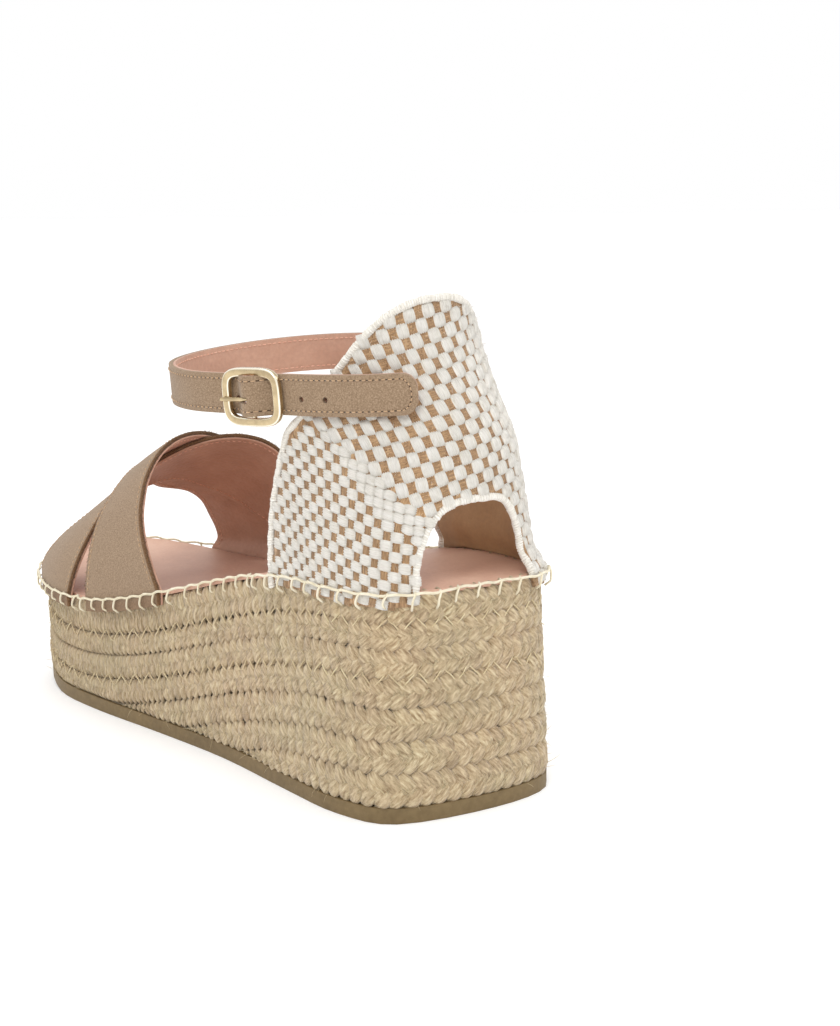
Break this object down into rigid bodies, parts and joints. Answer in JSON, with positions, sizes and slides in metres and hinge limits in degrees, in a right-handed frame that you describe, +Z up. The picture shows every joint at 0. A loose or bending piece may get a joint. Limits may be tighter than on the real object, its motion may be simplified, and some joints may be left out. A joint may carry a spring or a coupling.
{
  "type": "wedge sandal",
  "caption": "Left wedge sandal: plaited jute platform, crossed suede vamp bands, woven heel panel with a back cut-out, and an ankle strap with a centre-bar buckle.",
  "frame": {"origin": "on the floor under the middle of the sole, at the outsole's bottom face", "axes": "+Z up, +Y towards the toe, -X towards the outer side of the left foot"},
  "size_m": [0.1015, 0.2486, 0.1532],
  "materials": {
    "rubber": "matte",
    "jute": "plaited, matte",
    "jute_thread": "matte thread",
    "core": "cork, matte",
    "board": "matte",
    "foam": "matte foam",
    "sock_leather": "smooth, low sheen",
    "cotton_thread": "matte thread",
    "canvas": "basket weave, matte",
    "tan_leather": "smooth, low sheen",
    "suede": "suede nap, matte",
    "lining_leather": "smooth, low sheen",
    "metal": "polished, pale gold tint"
  },
  "bodies": {
    "shoe": {"outsole": "rubber", "wedge_core": "core", "braid_row_1": "jute", "braid_row_2": "jute", "braid_row_3": "jute", "braid_row_4": "jute", "braid_row_5": "jute", "braid_row_6": "jute", "braid_row_7": "jute", "zigzag_stitch_upper": "jute_thread", "zigzag_stitch_lower": "jute_thread", "insole_board": "board", "insole_padding": "foam", "insole_sock": "sock_leather", "rim_stitch": "cotton_thread", "heel_panel": "canvas", "heel_lining": "tan_leather", "panel_binding": "canvas", "cutout_binding": "canvas", "under_band": "suede", "under_band_lining": "lining_leather", "over_band": "suede", "over_band_lining": "lining_leather", "buckle_strap": "suede"},
    "strap": {"ankle_strap": "suede", "ankle_strap_lining": "lining_leather"},
    "frame_body": {"buckle_frame": "metal"},
    "prong_body": {"buckle_prong": "metal"}
  },
  "joints": [
    {"name": "strap_swing", "type": "hinge", "parent": "shoe", "child": "strap", "pos_m": [0.02452, -0.072, 0.12917], "axis": [0.0802, 0, -0.9968], "range_deg": [0, 70], "deforming": ["ankle_strap", "ankle_strap_lining"]},
    {"name": "buckle_frame_pivot", "type": "hinge", "parent": "shoe", "child": "frame_body", "pos_m": [-0.04668, -0.06615, 0.12344], "axis": [0.0802, 0, -0.9968], "range_deg": [0, 35]},
    {"name": "prong_pivot", "type": "hinge", "parent": "frame_body", "child": "prong_body", "pos_m": [-0.04668, -0.06615, 0.12344], "axis": [-0.0802, 0, 0.9968], "range_deg": [0, 105]}
  ],
  "couplings": [
    {"joint": "buckle_frame_pivot", "follows": "strap_swing", "ratio": 0.5},
    {"joint": "prong_pivot", "follows": "strap_swing", "ratio": 1.5}
  ]
}
